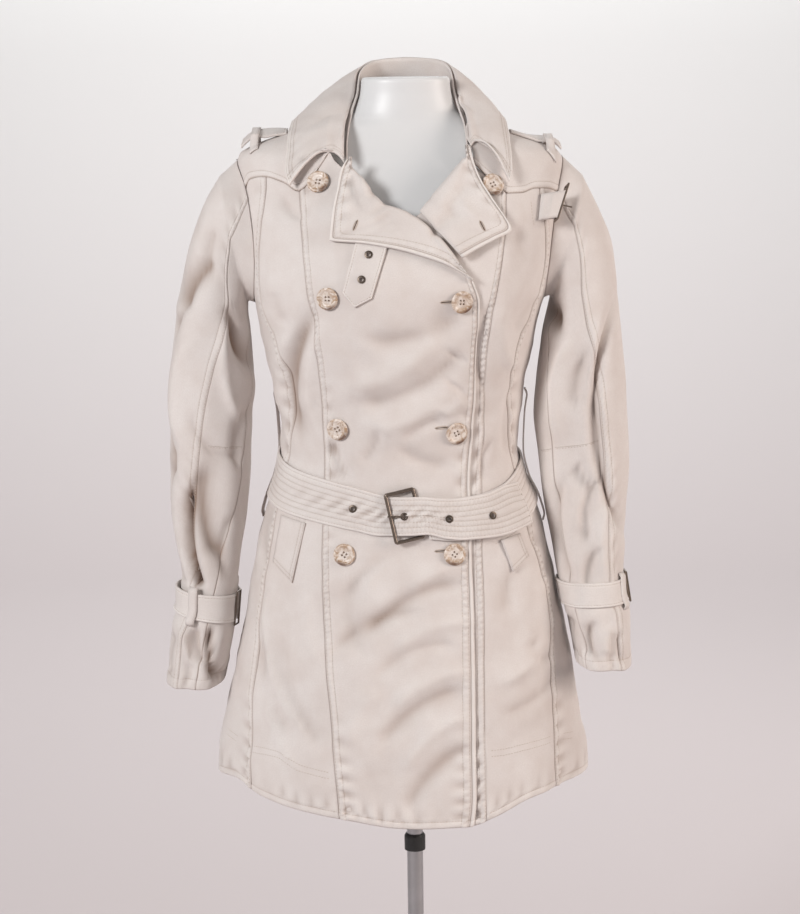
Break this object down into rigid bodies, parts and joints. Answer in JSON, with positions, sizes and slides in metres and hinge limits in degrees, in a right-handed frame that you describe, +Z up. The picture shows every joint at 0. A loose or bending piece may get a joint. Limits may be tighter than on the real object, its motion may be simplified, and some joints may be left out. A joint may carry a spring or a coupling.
{
  "type": "double-breasted trench coat on a limbless dress form and pole stand",
  "caption": "Short double-breasted cotton trench coat with a buckled belt, epaulettes and a throat latch, worn open at the neck by a limbless dress form on a pole stand with a round base.",
  "frame": {"origin": "on the floor, at the centre of the underside of the stand's round base, under the pole", "axes": "+Z up along the pole, -Y towards the coat's front, +X towards the wearer's left"},
  "size_m": [0.5408, 0.33, 1.517],
  "materials": {
    "twill": "light beige cotton twill, matt, with edge stitching in the same colour",
    "bronze": "dark antique bronze plating, satin",
    "horn": "mottled tan horn imitation, glossy",
    "gloss": "glossy white lacquer",
    "steel": "brushed",
    "dark": "black, satin"
  },
  "bodies": {
    "coat_and_stand": {"front_right": "twill", "side_front_right": "twill", "side_right": "twill", "back_right": "twill", "yoke_right": "twill", "front_left": "twill", "side_front_left": "twill", "side_left": "twill", "back_left": "twill", "yoke_left": "twill", "lapel_right": "twill", "lapel_left": "twill", "collar_leaf": "twill", "collar_stand": "twill", "sleeve_right_top": "twill", "sleeve_right_front": "twill", "sleeve_right_under": "twill", "sleeve_left_top": "twill", "sleeve_left_front": "twill", "sleeve_left_under": "twill", "epaulette_right": "twill", "epaulette_loop_right": "twill", "epaulette_left": "twill", "epaulette_loop_left": "twill", "cuff_strap_right": "twill", "cuff_loop_right": "twill", "cuff_strap_left": "twill", "cuff_loop_left": "twill", "belt": "twill", "belt_carrier_right": "twill", "belt_carrier_left": "twill", "throat_tab": "twill", "throat_strap": "twill", "pocket_welt_right": "twill", "pocket_welt_left": "twill", "cuff_buckle_right": "bronze", "cuff_buckle_left": "bronze", "belt_eyelet_1": "bronze", "belt_eyelet_2": "bronze", "belt_eyelet_3": "bronze", "belt_eyelet_4": "bronze", "belt_buckle": "bronze", "belt_prong": "bronze", "throat_eyelet_1": "bronze", "throat_eyelet_2": "bronze", "button_1": "horn", "button_2": "horn", "button_3": "horn", "button_4": "horn", "button_5": "horn", "button_6": "horn", "button_7": "horn", "button_8": "horn", "form_torso": "gloss", "stand_base": "steel", "stand_pole": "steel", "stand_collar": "dark"},
    "throat_frame": {"throat_buckle": "bronze"},
    "throat_pin": {"throat_prong": "bronze"}
  },
  "joints": [
    {"name": "throat_buckle_hinge", "type": "hinge", "parent": "coat_and_stand", "child": "throat_frame", "pos_m": [0.17, -0.06652, 1.3545], "axis": [0.3122, 0.3801, 0.8706], "range_deg": [-20, 20]},
    {"name": "throat_prong_hinge", "type": "hinge", "parent": "throat_frame", "child": "throat_pin", "pos_m": [0.17, -0.06652, 1.3545], "axis": [0.3122, 0.3801, 0.8706], "range_deg": [-12, 12]}
  ]
}
